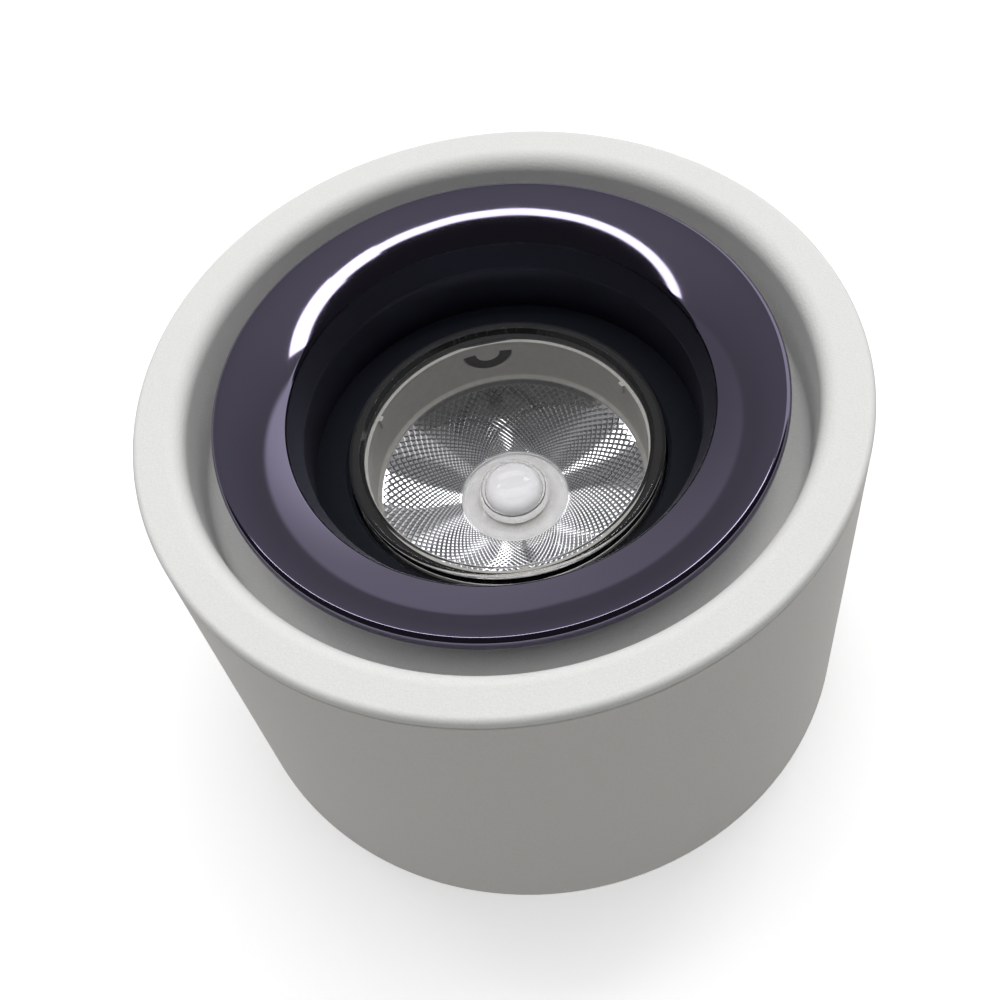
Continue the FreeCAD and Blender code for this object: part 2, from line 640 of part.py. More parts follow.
# ---------------------------------------------------------------- lamp head
def trim_ring():
    """Bell-mouthed ring: a beaded edge, a falling flange and bell, a short cone and a plain sleeve."""
    edge = 0.35
    sleeve_r = THROAT_R + TRIM_T
    inner_r = TRIM_R - 1.1
    bottom = TRIM_TOP - TRIM_EDGE
    bead_r = TRIM_R - TRIM_BEAD
    bead_z = TRIM_TOP - TRIM_BEAD
    tilt = math.radians(FLANGE_SLOPE)
    start = (bead_r - TRIM_BEAD * math.sin(tilt), bead_z + TRIM_BEAD * math.cos(tilt))
    flange, bell_start = falling_arc(*start, FLANGE_SWEEP, FLANGE_SLOPE, BELL_SLOPE)
    bell, bell_end = falling_arc(*bell_start, BELL_SWEEP, BELL_SLOPE, MOUTH_SLOPE)
    turn, cone_start = falling_arc(*bell_end, MOUTH_SWEEP, MOUTH_SLOPE, CONE_SLOPE)
    cone_end = (cone_start[0] - CONE_H / math.tan(math.radians(CONE_SLOPE)), cone_start[1] - CONE_H)
    lip, _ = falling_arc(*cone_end, LIP, CONE_SLOPE, 90)
    lip_end = (lip[0] - LIP * math.sin(math.radians(45)), lip[1] - LIP * math.cos(math.radians(45)))
    under_slope = math.degrees(math.asin((flange[0] - inner_r) / (FLANGE_SWEEP - TRIM_T)))
    under_z = flange[1] + (FLANGE_SWEEP - TRIM_T) * math.cos(math.radians(under_slope))
    tilt = math.radians(MOUTH_SLOPE)
    under_end = (bell_end[0] + TRIM_T * math.sin(tilt), bell_end[1] - TRIM_T * math.cos(tilt))
    return spun([
        arc(bead_r, bead_z, TRIM_BEAD, 0, 90 + FLANGE_SLOPE),
        arc(*flange, FLANGE_SWEEP, 90 + FLANGE_SLOPE, 90 + BELL_SLOPE),
        arc(*bell, BELL_SWEEP, 90 + BELL_SLOPE, 90 + MOUTH_SLOPE),
        arc(*turn, MOUTH_SWEEP, 90 + MOUTH_SLOPE, 90 + CONE_SLOPE),
        line(*cone_start, *cone_end),
        arc(*lip, LIP, 90 + CONE_SLOPE, 225),
        line(*lip_end, THROAT_R, lip_end[1] - LIP),
        line(THROAT_R, lip_end[1] - LIP, THROAT_R, THROAT_Z + 0.3),
        arc(THROAT_R + 0.3, THROAT_Z + 0.3, 0.3, 180, 270),
        line(THROAT_R + 0.3, THROAT_Z, sleeve_r, THROAT_Z),
        line(sleeve_r, THROAT_Z, sleeve_r, cone_end[1]),
        line(sleeve_r, cone_end[1], *under_end),
        arc(*bell, BELL_SWEEP - TRIM_T, 90 + MOUTH_SLOPE, 90 + BELL_SLOPE),
        arc(*flange, FLANGE_SWEEP - TRIM_T, 90 + BELL_SLOPE, 90 + under_slope),
        line(inner_r, under_z, inner_r, bottom),
        line(inner_r, bottom, TRIM_R - edge, bottom),
        arc(TRIM_R - edge, bottom + edge, edge, -90, 0),
        line(TRIM_R, bottom + edge, TRIM_R, bead_z)])


SINK_SCREW_AT = 25.0
SINK_SCREW_ANGLE = 45.0


def sink_screw_places():
    return [polar(SINK_SCREW_AT, SINK_SCREW_ANGLE + 90.0 * i) for i in range(4)]


def lamp_cup():
    """Cast cup that holds trim ring and lens holder, with a boss for each pivot screw."""
    socket_r = THROAT_R + TRIM_T + FIT
    cup = spun_points([
        (HOLDER_R + 0.3, CUP_BOTTOM), (CUP_R, CUP_BOTTOM), (CUP_R, CUP_TOP), (socket_r, CUP_TOP),
        (socket_r, CUP_SHOULDER), (HOLDER_R + 0.3, CUP_SHOULDER)])
    for side in (-1, 1):
        x0, x1 = sorted((side * (CUP_R - 0.7), side * (EAR_X - BOSS_GAP)))
        cup = cup.fuse(rod_x(BOSS_R, x0, x1, 0, PIVOT_Z))
    cup = cup.cut(rod(socket_r, CUP_SHOULDER, CUP_TOP + 5))
    cup = cup.cut(rod_x(SCREW_R, -40, 40, 0, PIVOT_Z))
    for x, y in sink_screw_places():
        cup = cup.cut(rod(1.25, CUP_BOTTOM - 1, CUP_SHOULDER - 0.8, x, y))
    return cup.removeSplitter()


def lens_retainer():
    """Black ring that fills the space between throat and lens."""
    return spun_points([(LENS_R + 0.3, CUP_SHOULDER), (THROAT_R + TRIM_T, CUP_SHOULDER),
                        (THROAT_R + TRIM_T, THROAT_Z), (LENS_R + 0.8, THROAT_Z),
                        (LENS_R + 0.3, THROAT_Z - 0.5)])


def pivot_screws():
    """Shoulder screws: the shoulder turns in the yoke's ear, the thread holds in the cup."""
    head_x = EAR_X + YOKE_T + 0.1
    head_r = 3.2
    head_h = 1.8
    slot_half = 0.35
    screw = rod_x(SCREW_R - SLIP, CUP_R - 1.0, EAR_X - BOSS_GAP + 0.05, 0, PIVOT_Z)
    screw = screw.fuse(rod_x(PIVOT_R, EAR_X - BOSS_GAP, head_x, 0, PIVOT_Z))
    screw = screw.fuse(rod_x(head_r, head_x, head_x + head_h, 0, PIVOT_Z))
    slot = block(head_x + head_h / 2, head_x + 3, -slot_half, slot_half, PIVOT_Z - 4, PIVOT_Z + 4)
    screw = screw.cut(slot)
    return [screw, mirrored_x(screw)]


def pivot_washers():
    """Nylon washers between the cup's bosses and the ears."""
    washer = rod_x(BOSS_R, EAR_X - BOSS_GAP, EAR_X - 0.1, 0, PIVOT_Z)
    washer = washer.cut(rod_x(PIVOT_R + FIT, 0, 50, 0, PIVOT_Z))
    return [washer, mirrored_x(washer)]


RIB_ANGLES = [23.5, 150.0, 268.0]
RIB_IN_R = 19.1             # the ribs stand on the holder's inner wall
RIB_HALF = 1.3              # half their width, in degrees
RIB_FOOT_Z = 42.2
RECESS_Z = 42.2             # half-round recess in the holder's wall, at +Y, with a boss in it
RECESS_R = 3.7
RECESS_BOSS_R = 1.8
RECESS_DEPTH = 0.9


def front_lens():
    """Clear lens: a flat disc with a raised, rounded rim."""
    rim_in = LENS_R - LENS_RIM_W
    soft = 0.7
    lean = 0.3
    return spun([
        line(0, LENS_BACK, 0, LENS_FACE),
        line(0, LENS_FACE, rim_in - lean, LENS_FACE),
        line(rim_in - lean, LENS_FACE, rim_in + lean, LENS_TOP),
        line(rim_in + lean, LENS_TOP, LENS_R - soft, LENS_TOP),
        arc(LENS_R - soft, LENS_TOP - soft, soft, 90, 0),
        line(LENS_R, LENS_TOP - soft, LENS_R, LENS_SEAT),
        line(LENS_R, LENS_SEAT, rim_in, LENS_SEAT),
        line(rim_in, LENS_SEAT, rim_in, LENS_BACK),
        line(rim_in, LENS_BACK, 0, LENS_BACK)])


def lens_holder():
    """White holder: a deep wall with a ledge over the reflector, and a collar inside the lens."""
    ledge_z = REFLECTOR_Z + 0.25
    inner_r = HOLDER_R - 1.5
    holder = spun_points([
        (HOLDER_IN_R, HOLDER_TOP), (COLLAR_R, HOLDER_TOP), (COLLAR_R, HOLDER_STEP_Z),
        (HOLDER_R, HOLDER_STEP_Z), (HOLDER_R, SINK_TOP), (inner_r, SINK_TOP),
        (inner_r, REFLECTOR_Z - REFLECTOR_T), (REFLECTOR_R, REFLECTOR_Z), (REFLECTOR_R, ledge_z),
        (HOLDER_IN_R - 0.1, ledge_z + 0.15), (HOLDER_IN_R, ledge_z + 0.3)])
    for angle in RIB_ANGLES:
        holder = holder.fuse(sector(RIB_IN_R, HOLDER_IN_R + 0.2, angle, RIB_HALF,
                                    RIB_FOOT_Z, HOLDER_TOP))
    depth = HOLDER_IN_R + RECESS_DEPTH
    recess = Part.makeCylinder(RECESS_R, depth, Vec(0, 0, RECESS_Z), Vec(0, 1, 0))
    recess = recess.cut(Part.makeCylinder(RECESS_BOSS_R, depth, Vec(0, 0, RECESS_Z), Vec(0, 1, 0)))
    recess = recess.cut(block(-RECESS_R, RECESS_R, -1, depth + 1, RECESS_Z, RECESS_Z + RECESS_R))
    return holder.cut(recess).removeSplitter()


def lens_seal():
    """Black rubber ring between the lens's rim and the holder."""
    return tube(HOLDER_R, COLLAR_R + FIT, HOLDER_STEP_Z, LENS_SEAT)


def reflector():
    """Shallow bright reflector with a thin wall and a flat rim under the holder's ledge."""
    lean = math.atan2(REFLECTOR_Z - REFLECTOR_FOOT_Z, REFLECTOR_R - REFLECTOR_FOOT_R)
    dr = REFLECTOR_T * math.sin(lean)
    dz = REFLECTOR_T * math.cos(lean)
    rim_r = REFLECTOR_R + 1.45
    return spun_points([
        (REFLECTOR_R, REFLECTOR_Z), (rim_r, REFLECTOR_Z - REFLECTOR_T),
        (rim_r, REFLECTOR_Z - 2 * REFLECTOR_T), (REFLECTOR_R, REFLECTOR_Z - 2 * REFLECTOR_T),
        (REFLECTOR_FOOT_R + dr, REFLECTOR_FOOT_Z - dz), (REFLECTOR_FOOT_R, REFLECTOR_FOOT_Z)])


LED_BOARD_Z = 31.05
LED_TOP = 32.1
FRAME_TOP = 32.2
FRAME_SCREW_X = 13.6
FRAME_HEAD_R = 2.0
FRAME_SEAT = FRAME_TOP - 0.5        # the screw heads are let into the frame
BOARD_HALF = 8.5                    # half the side of the carrier
CAPSULE_R = 4.3
CAPSULE_EDGE = 1.7                  # its rounded upper edge


def led_board():
    """Ceramic chip-on-board carrier."""
    return block(-BOARD_HALF, BOARD_HALF, -BOARD_HALF, BOARD_HALF, LED_BOARD_Z, LED_TOP)


def led_emitter():
    """Phosphor disc of the light source."""
    return rod(3.6, LED_TOP, LED_TOP + 0.4)


def led_capsule():
    """Frosted cap over the emitter, inside the primary lens."""
    foot = LED_TOP + 0.5
    top = foot + 2.8
    turn_r = CAPSULE_R - CAPSULE_EDGE
    turn_z = top - CAPSULE_EDGE
    return spun([
        line(0, foot, 0, top),
        line(0, top, turn_r, top),
        arc(turn_r, turn_z, CAPSULE_EDGE, 90, 0),
        line(CAPSULE_R, turn_z, CAPSULE_R, foot),
        line(CAPSULE_R, foot, 0, foot)])


def led_dome():
    """Clear primary lens: a dome with a pocket for the capsule."""
    radius = (DOME_R ** 2 + DOME_H ** 2) / (2 * DOME_H)
    foot = LED_TOP + 0.3
    centre_z = foot + DOME_H - radius
    foot_angle = math.degrees(math.asin((foot - centre_z) / radius))
    gap = 0.15
    pocket_r = CAPSULE_R + gap
    pocket_z = LED_TOP + 3.3 + gap
    turn_r = pocket_r - CAPSULE_EDGE
    turn_z = pocket_z - CAPSULE_EDGE
    return spun([
        line(0, pocket_z, 0, foot + DOME_H),
        arc(0, centre_z, radius, 90, foot_angle),
        line(DOME_R, foot, pocket_r, foot),
        line(pocket_r, foot, pocket_r, turn_z),
        arc(turn_r, turn_z, CAPSULE_EDGE, 0, 90),
        line(turn_r, pocket_z, 0, pocket_z)])


def led_frame():
    """Plastic frame that presses the carrier onto the heat sink, with two screw holes."""
    frame = tube(16.0, REFLECTOR_FOOT_R + 0.9, SINK_TOP, FRAME_TOP)
    window = BOARD_HALF + 0.2
    frame = frame.cut(block(-window, window, -window, window, SINK_TOP - 1, LED_TOP + SLIP))
    frame = frame.cut(Part.makeCone(REFLECTOR_FOOT_R + 0.5, 12.0, 1.0, Vec(0, 0, LED_TOP - 0.5)))
    for x in (-FRAME_SCREW_X, FRAME_SCREW_X):
        frame = frame.cut(rod(SMALL_SCREW_R, SINK_TOP - 1, FRAME_TOP + 1, x))
        frame = frame.cut(rod(FRAME_HEAD_R + 0.2, FRAME_SEAT, FRAME_TOP + 1, x))
    return frame


def led_frame_screws():
    return [pan_screw(x, 0.0, FRAME_SEAT, 3.5, SMALL_SCREW_R - SLIP, FRAME_HEAD_R, 1.1)
            for x in (-FRAME_SCREW_X, FRAME_SCREW_X)]


def thermal_pad():
    """Thermal pad between carrier and heat sink."""
    return block(-BOARD_HALF, BOARD_HALF, -BOARD_HALF, BOARD_HALF, SINK_TOP, LED_BOARD_Z)


def heat_sink():
    """Finned aluminium heat sink: a plate with L-shaped radial fins and four screw posts."""
    corner = 3.0
    fin_in_r = 8.0
    fin_top = CUP_BOTTOM - 0.2
    leg_r = HOLDER_R + 0.6
    root_z = SINK_PLATE + 0.5
    head_z = SINK_PLATE - 1.5
    sink = rod(HOLDER_R + 1.0, SINK_PLATE, SINK_TOP)
    for post in sink_screw_places():
        sink = sink.fuse(rod(2.5, head_z, CUP_BOTTOM, *post))
    profile = [Vec(fin_in_r, 0, SINK_BOTTOM), Vec(SINK_R - corner, 0, SINK_BOTTOM),
               Vec(SINK_R, 0, SINK_BOTTOM + corner), Vec(SINK_R, 0, fin_top), Vec(leg_r, 0, fin_top),
               Vec(leg_r, 0, root_z), Vec(fin_in_r, 0, root_z)]
    plate = Part.Face(Part.makePolygon(profile + [profile[0]]))
    plate.translate(Vec(0, -FIN_T / 2, 0))
    fin = plate.extrude(Vec(0, FIN_T, 0))
    for copy in round_pattern(fin, FIN_COUNT):
        sink = sink.fuse(copy)
    for x, y in sink_screw_places():
        sink = sink.cut(rod(3.2, SINK_BOTTOM - 1, head_z, x, y))
        sink = sink.cut(rod(1.4, SINK_BOTTOM - 1, CUP_BOTTOM + 1, x, y))
    for x in (-FRAME_SCREW_X, FRAME_SCREW_X):
        sink = sink.cut(rod(SMALL_SCREW_R, SINK_PLATE - 0.5, SINK_TOP + 1, x))
    sink = sink.cut(rod(1.8, SINK_BOTTOM - 1, SINK_TOP + 1, 0, 11.5))
    return sink.removeSplitter()


def sink_screws():
    return [pan_screw(x, y, SINK_PLATE - 1.5, 14.0, 1.25 - SLIP, 2.4, 1.5, up=False)
            for x, y in sink_screw_places()]


# ---------------------------------------------------------------- write every piece
save("ceiling_plate", ceiling_plate())
save("cable_grommet", cable_grommet())
save("terminal_block", terminal_block())
save("terminal_clamps", *terminal_clamps())
save("terminal_screws", *terminal_screws())
save("terminal_fixings", *terminal_fixings())
save("earth_tag", earth_tag())
save("earth_screw", earth_screw())

save("barrel", barrel())
save("front_bezel", front_bezel())
save("chassis_plate", chassis_plate())
save("chassis_screws", *chassis_screws())
save("bayonet_ring", bayonet_ring())
save("bayonet_screws", *bayonet_screws())
save("pan_bush", pan_bush())
save("pan_washer", pan_washer())

save("driver_case", driver_case())
save("driver_lid", driver_lid())
save("driver_screws", *driver_screws())
save("driver_board", driver_board())
save("transformer_core", transformer())
save("transformer_coil", transformer_coil())
save("capacitors", *capacitors())
save("driver_chips", *driver_chips())
save("input_socket", socket(-SOCKET_X))
save("output_socket", socket(SOCKET_X))

save("yoke", yoke())

save("trim_ring", trim_ring())
save("lamp_cup", lamp_cup())
save("lens_retainer", lens_retainer())
save("pivot_screws", *pivot_screws())
save("pivot_washers", *pivot_washers())
save("front_lens", front_lens())
save("lens_holder", lens_holder())
save("lens_seal", lens_seal())
save("reflector", reflector())
save("led_dome", led_dome())
save("led_capsule", led_capsule())
save("led_emitter", led_emitter())
save("led_board", led_board())
save("led_frame", led_frame())
save("led_frame_screws", *led_frame_screws())
save("thermal_pad", thermal_pad())
save("heat_sink", heat_sink())
save("heat_sink_screws", *sink_screws())
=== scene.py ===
"""Looks of a surface-mounted downlight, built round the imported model.

The lamp stands on its ceiling face with its mouth up, in metres, and +Z is the way its light
leaves.  Turned pieces are lathed from their outlines; the reflector is faceted in mesh code.
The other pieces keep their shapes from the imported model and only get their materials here.
"""

import math

import bmesh
import bpy
from mathutils import Matrix, Vector


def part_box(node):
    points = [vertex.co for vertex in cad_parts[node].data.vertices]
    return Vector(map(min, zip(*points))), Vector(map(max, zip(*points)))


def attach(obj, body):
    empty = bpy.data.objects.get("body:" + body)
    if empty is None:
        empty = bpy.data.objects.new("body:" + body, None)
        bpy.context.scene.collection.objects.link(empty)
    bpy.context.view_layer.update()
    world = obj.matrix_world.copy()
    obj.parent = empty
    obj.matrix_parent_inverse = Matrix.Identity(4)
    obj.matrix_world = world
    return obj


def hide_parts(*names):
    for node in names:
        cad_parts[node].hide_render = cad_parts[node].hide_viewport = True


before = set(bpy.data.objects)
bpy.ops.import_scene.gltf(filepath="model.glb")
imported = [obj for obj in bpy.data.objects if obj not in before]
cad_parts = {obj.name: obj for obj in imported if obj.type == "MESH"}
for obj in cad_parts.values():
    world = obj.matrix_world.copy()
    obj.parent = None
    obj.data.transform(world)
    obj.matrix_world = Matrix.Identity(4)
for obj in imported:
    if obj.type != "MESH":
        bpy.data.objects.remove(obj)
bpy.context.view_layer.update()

MM = 0.001
TURN = 2 * math.pi
SUPPORT = 0.06 * MM         # distance of the loops that keep a corner crisp
SAME = 1e-7                 # points nearer than this are one point
STEPS = 288                 # segments round a lathed piece


# ---------------------------------------------------------------- places, from the frame
def top(node):
    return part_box(node)[1].z


def foot(node):
    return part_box(node)[0].z


def reach(node):
    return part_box(node)[1].x


BODY_R = reach("front_bezel")
RIM_Z = top("front_bezel")
SEAM_Z = top("barrel")
TRIM_R = reach("trim_ring")
TRIM_TOP = top("trim_ring")
THROAT_Z = foot("trim_ring")
LENS_R = reach("front_lens")
LENS_TOP = top("front_lens")
MIRROR_TOP = top("reflector")
MIRROR_FOOT = foot("reflector")
DOME_R = reach("led_dome")


# ---------------------------------------------------------------- outlines and lathe work
def straight(r0, z0, r1, z1):
    """A straight run with a support point close to each end."""
    length = math.hypot(r1 - r0, z1 - z0)
    near = min(SUPPORT / length, 0.3)
    return [(r0 + (r1 - r0) * t, z0 + (z1 - z0) * t) for t in (0.0, near, 1.0 - near, 1.0)]


def bend(r, z, radius, start, end, steps=8):
    """A round run about (r, z), with angles in degrees from outwards towards up."""
    points = []
    for i in range(steps + 1):
        a = math.radians(start + (end - start) * i / steps)
        points.append((r + radius * math.cos(a), z + radius * math.sin(a)))
    return points


def joined(*runs):
    """One outline from several runs, without its repeated points."""
    points = []
    for run in runs:
        for p in run:
            if not points or math.dist(p, points[-1]) > SAME:
                points.append(p)
    if math.dist(points[0], points[-1]) < SAME:
        points.pop()
    return points


def turned_ring(bm, r, z, steps):
    """Vertices of one outline point turned about Z; on the axis they are all the same one."""
    if r < SAME:
        return [bm.verts.new((0, 0, z))] * steps
    ring = []
    for i in range(steps):
        a = TURN * i / steps
        ring.append(bm.verts.new((r * math.cos(a), r * math.sin(a), z)))
    return ring


def lathe(name, outline, steps=STEPS):
    """A closed outline turned about Z."""
    bm = bmesh.new()
    rings = [turned_ring(bm, r, z, steps) for r, z in outline]
    for k, ring in enumerate(rings):
        after = rings[(k + 1) % len(rings)]
        if ring[0] is ring[1] and after[0] is after[1]:
            continue
        for i in range(steps):
            j = (i + 1) % steps
            corners = []
            for v in (ring[i], ring[j], after[j], after[i]):
                if v not in corners:
                    corners.append(v)
            bm.faces.new(corners)
    bmesh.ops.recalc_face_normals(bm, faces=bm.faces)
    return finished(name, bm)


def finished(name, bm, smooth=True):
    """A scene object from a bmesh."""
    mesh = bpy.data.meshes.new(name)
    bm.to_mesh(mesh)
    bm.free()
    mesh.polygons.foreach_set("use_smooth", [smooth] * len(mesh.polygons))
    obj = bpy.data.objects.new(name, mesh)
    bpy.context.scene.collection.objects.link(obj)
    return obj


def stand_for(obj, node, body, material):
    """Places a piece in the assembly instead of the CAD node it replaces."""
    obj.data.materials.append(material)
    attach(obj, body)
    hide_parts(node)
    return obj


# ---------------------------------------------------------------- material helpers
class Nodes:
    """Short hand for building one node material."""

    def __init__(self, name):
        self.material = bpy.data.materials.new(name)
        self.material.use_nodes = True
        self.tree = self.material.node_tree
        self.shader = self.tree.nodes["Principled BSDF"]
        self.coords = self.tree.nodes.new("ShaderNodeTexCoord").outputs["Object"]

    def add(self, kind, **inputs):
        """A new node with its inputs fed; a space in a socket's name is written as _ here."""
        node = self.tree.nodes.new(kind)
        for key, value in inputs.items():
            self.feed(node, key.replace("_", " "), value)
        return node

    def feed(self, node, socket, value):
        """Links a socket's output, or sets a plain value."""
        if isinstance(value, bpy.types.NodeSocket):
            self.tree.links.new(value, node.inputs[socket])
        else:
            node.inputs[socket].default_value = value

    def set(self, **values):
        """Feeds the shader's own sockets."""
        for key, value in values.items():
            self.feed(self.shader, key.replace("_", " "), value)

    def noise(self, scale, detail=2.0, roughness=0.5):
        """Even noise, as a value from 0 to 1."""
        node = self.add("ShaderNodeTexNoise", Vector=self.coords, Scale=scale, Detail=detail,
                        Roughness=roughness)
        return node.outputs["Fac"]

    def between(self, axis, start, end):
        """0 at one place along an axis of the model, 1 at the other, in metres."""
        split = self.add("ShaderNodeSeparateXYZ", Vector=self.coords)
        node = self.add("ShaderNodeMapRange", Value=split.outputs[axis], From_Min=start, From_Max=end)
        return node.outputs["Result"]

    def ramp(self, value, low, high, at=(0.0, 1.0)):
        """Maps a value to a colour between low and high."""
        node = self.tree.nodes.new("ShaderNodeValToRGB")
        node.color_ramp.elements[0].position = at[0]
        node.color_ramp.elements[1].position = at[1]
        node.color_ramp.elements[0].color = (*low, 1.0)
        node.color_ramp.elements[1].color = (*high, 1.0)
        self.feed(node, "Fac", value)
        return node.outputs["Color"]

    def span(self, value, low, high):
        """Maps a value from 0..1 to low..high."""
        node = self.tree.nodes.new("ShaderNodeMapRange")
        self.feed(node, "Value", value)
        node.inputs["To Min"].default_value = low
        node.inputs["To Max"].default_value = high
        return node.outputs["Result"]

    def total(self, a, b):
        """The sum of two values."""
        node = self.tree.nodes.new("ShaderNodeMath")
        self.tree.links.new(a, node.inputs[0])
        self.tree.links.new(b, node.inputs[1])
        return node.outputs["Value"]

    def mixed(self, share, a, b):
        """A colour from a, where share is 0, to b, where it is 1."""
        node = self.tree.nodes.new("ShaderNodeMix")
        node.data_type = "RGBA"
        self.feed(node, "Factor", share)
        for socket, value in ((node.inputs[6], a), (node.inputs[7], b)):
            if isinstance(value, bpy.types.NodeSocket):
                self.tree.links.new(value, socket)
            else:
                socket.default_value = (*value, 1.0)
        return node.outputs[2]

    def bump(self, height, distance):
        """A normal that follows a height from 0 to 1, over a depth in metres."""
        node = self.add("ShaderNodeBump", Height=height, Distance=distance, Strength=1.0)
        return node.outputs["Normal"]


def shades(colour, spread):
    """A darker and a lighter shade of a colour."""
    return [max(0.0, c * (1 - spread)) for c in colour], [min(1.0, c * (1 + spread)) for c in colour]


# ---------------------------------------------------------------- materials
THROAT_SHADE_TOP = 56.5 * MM        # height where painted shade starts to darken the ring's plating
THROAT_SHADE_FULL = 56.0 * MM    # height below which the painted shade is darkest and the plating least polished
RECESS_SHADE_START = 19.66 * MM   # distance behind the axis where the painted shade of the holder's recess starts
RECESS_SHADE_INSIDE = 19.74 * MM


def powder_coat(name, colour, grain=2600.0, height=0.05 * MM):
    """Fine matte powder coat: a close pebble with faint darker and brighter specks."""
    m = Nodes(name)
    low, high = shades(colour, 0.05)
    speck = m.noise(grain * 1.7, detail=3.0, roughness=0.7)
    cloud = m.noise(45.0, detail=2.0)
    base = m.mixed(m.span(cloud, 0.0, 0.3), m.ramp(speck, low, high, at=(0.35, 0.65)), high)
    pebble = m.noise(grain, detail=2.5, roughness=0.6)
    m.set(Base_Color=base, Roughness=m.span(speck, 0.50, 0.68), Specular_IOR_Level=0.35,
          Normal=m.bump(pebble, height))
    return m.material


def black_chrome(name):
    """Dark mirror plating with a violet cast and a very faint orange peel, duller in the throat, where
    painted shade darkens its colour.
    """
    m = Nodes(name)
    violet = m.ramp(m.noise(30.0), (0.195, 0.175, 0.255), (0.215, 0.195, 0.28), at=(0.3, 0.7))
    # painted shade: a darker blue-black reflectance for the throat, where little light reaches
    throat_shade = (0.16, 0.165, 0.225)
    throat = m.between("Z", THROAT_SHADE_TOP, THROAT_SHADE_FULL)
    polish = m.span(m.noise(220.0, detail=4.0), 0.035, 0.075)
    dullness = m.span(throat, 0.0, 0.40)
    m.set(Base_Color=m.mixed(throat, violet, throat_shade), Metallic=1.0,
          Roughness=m.total(polish, dullness),
          Normal=m.bump(m.noise(160.0, detail=1.0), 0.0006 * MM))
    return m.material


def satin(name, colour, roughness=(0.35, 0.5), grain=900.0, height=0.01 * MM, metallic=0.0,
          spread=0.06, gloss=0.5):
    """Moulded, painted or cast surface with a light grain."""
    m = Nodes(name)
    low, high = shades(colour, spread)
    fine = m.noise(grain, detail=3.0)
    m.set(Base_Color=m.ramp(fine, low, high, at=(0.3, 0.7)), Metallic=metallic,
          Roughness=m.span(m.noise(grain * 0.3), *roughness), Normal=m.bump(fine, height),
          Specular_IOR_Level=gloss)
    return m.material


def moulded_holder(name):
    """White moulding, with painted shade darkening the inside of its recess, which faces inwards from
    +Y.
    """
    m = Nodes(name)
    fine = m.noise(900.0, detail=3.0)
    white = m.ramp(fine, (0.43, 0.42, 0.39), (0.48, 0.47, 0.44), at=(0.3, 0.7))
    # painted shade: near black inside the recess, where little light reaches
    dark = (0.012, 0.012, 0.014)
    recess = m.between("Y", RECESS_SHADE_START, RECESS_SHADE_INSIDE)
    m.set(Base_Color=m.mixed(recess, white, dark),
          Roughness=m.span(m.noise(270.0), 0.3, 0.4), Normal=m.bump(fine, 0.004 * MM))
    return m.material


def clear(name, ior, roughness=(0.0, 0.02), tint=(0.985, 0.98, 0.985)):
    """Clear moulding with a faint swirl, which lets the lamps' light through to what is behind it."""
    m = Nodes(name)
    low, high = shades(tint, 0.01)
    m.set(Base_Color=m.ramp(m.noise(60.0), low, high), Transmission_Weight=1.0, IOR=ior,
          Roughness=m.span(m.noise(300.0), *roughness),
          Normal=m.bump(m.noise(160.0), 0.001 * MM))
    open_to_lamps(m)
    return m.material


def open_to_lamps(m):
    """Shadow rays pass a clear piece, as its light does."""
    path = m.tree.nodes.new("ShaderNodeLightPath")
    through = m.add("ShaderNodeBsdfTransparent", Color=(0.985, 0.985, 0.99, 1.0))
    mix = m.tree.nodes.new("ShaderNodeMixShader")
    m.tree.links.new(path.outputs["Is Shadow Ray"], mix.inputs[0])
    m.tree.links.new(m.shader.outputs[0], mix.inputs[1])
    m.tree.links.new(through.outputs[0], mix.inputs[2])
    m.tree.links.new(mix.outputs[0], m.tree.nodes["Material Output"].inputs["Surface"])


def bright_metal(name, colour, roughness):
    """Vacuum-plated mirror with a very fine haze."""
    m = Nodes(name)
    low, high = shades(colour, 0.02)
    m.set(Base_Color=m.ramp(m.noise(400.0), low, high), Metallic=1.0,
          Roughness=m.span(m.noise(900.0), *roughness),
          Normal=m.bump(m.noise(700.0), 0.0004 * MM))
    return m.material


# the barrel's coat is a darker, warmer copy of the face's white coat: painted shade for its side wall,
# which faces away from the overhead light
SIDE_SHADED_WHITE = powder_coat("white_powder_coat", (0.71, 0.69, 0.66))
FACE = powder_coat("white_powder_coat_face", (0.735, 0.735, 0.72))
CHROME = black_chrome("black_chrome")
BLACK = satin("black_coat", (0.006, 0.007, 0.011), roughness=(0.42, 0.55), gloss=0.15)
CLEAR = clear("clear_acrylic", 1.49)
DOME = clear("clear_silicone", 1.42, roughness=(0.0, 0.03))
FROST = satin("frosted_cap", (0.95, 0.95, 0.95), roughness=(0.25, 0.4), spread=0.02)
PLASTIC = satin("white_plastic", (0.46, 0.45, 0.42), roughness=(0.3, 0.4), height=0.004 * MM,
                spread=0.02)
MIRROR = bright_metal("bright_reflector", (0.78, 0.79, 0.81), (0.04, 0.08))


